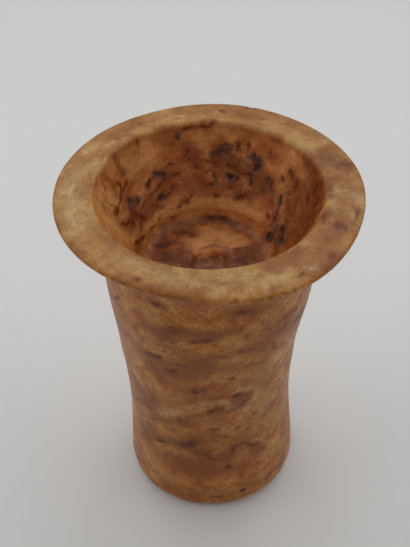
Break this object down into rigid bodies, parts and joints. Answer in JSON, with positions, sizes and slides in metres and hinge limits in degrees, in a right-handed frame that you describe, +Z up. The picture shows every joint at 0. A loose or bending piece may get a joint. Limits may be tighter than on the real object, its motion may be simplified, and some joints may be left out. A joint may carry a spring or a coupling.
{
  "type": "alabaster vase",
  "caption": "Carved stone vase with a concave body, a broad everted lip and a shallow drilled hollow; it stands on its flat foot.",
  "frame": {"origin": "centre of the flat sole, on the surface that the vase stands on", "axes": "+Z up through the mouth, -Y towards the side that the picture shows in front"},
  "size_m": [0.0911, 0.0918, 0.125],
  "materials": {
    "alabaster": "worn satin polish, honey brown with cream clouds and dark brown veins"
  },
  "bodies": {
    "root": {"vase": "alabaster"}
  },
  "joints": []
}
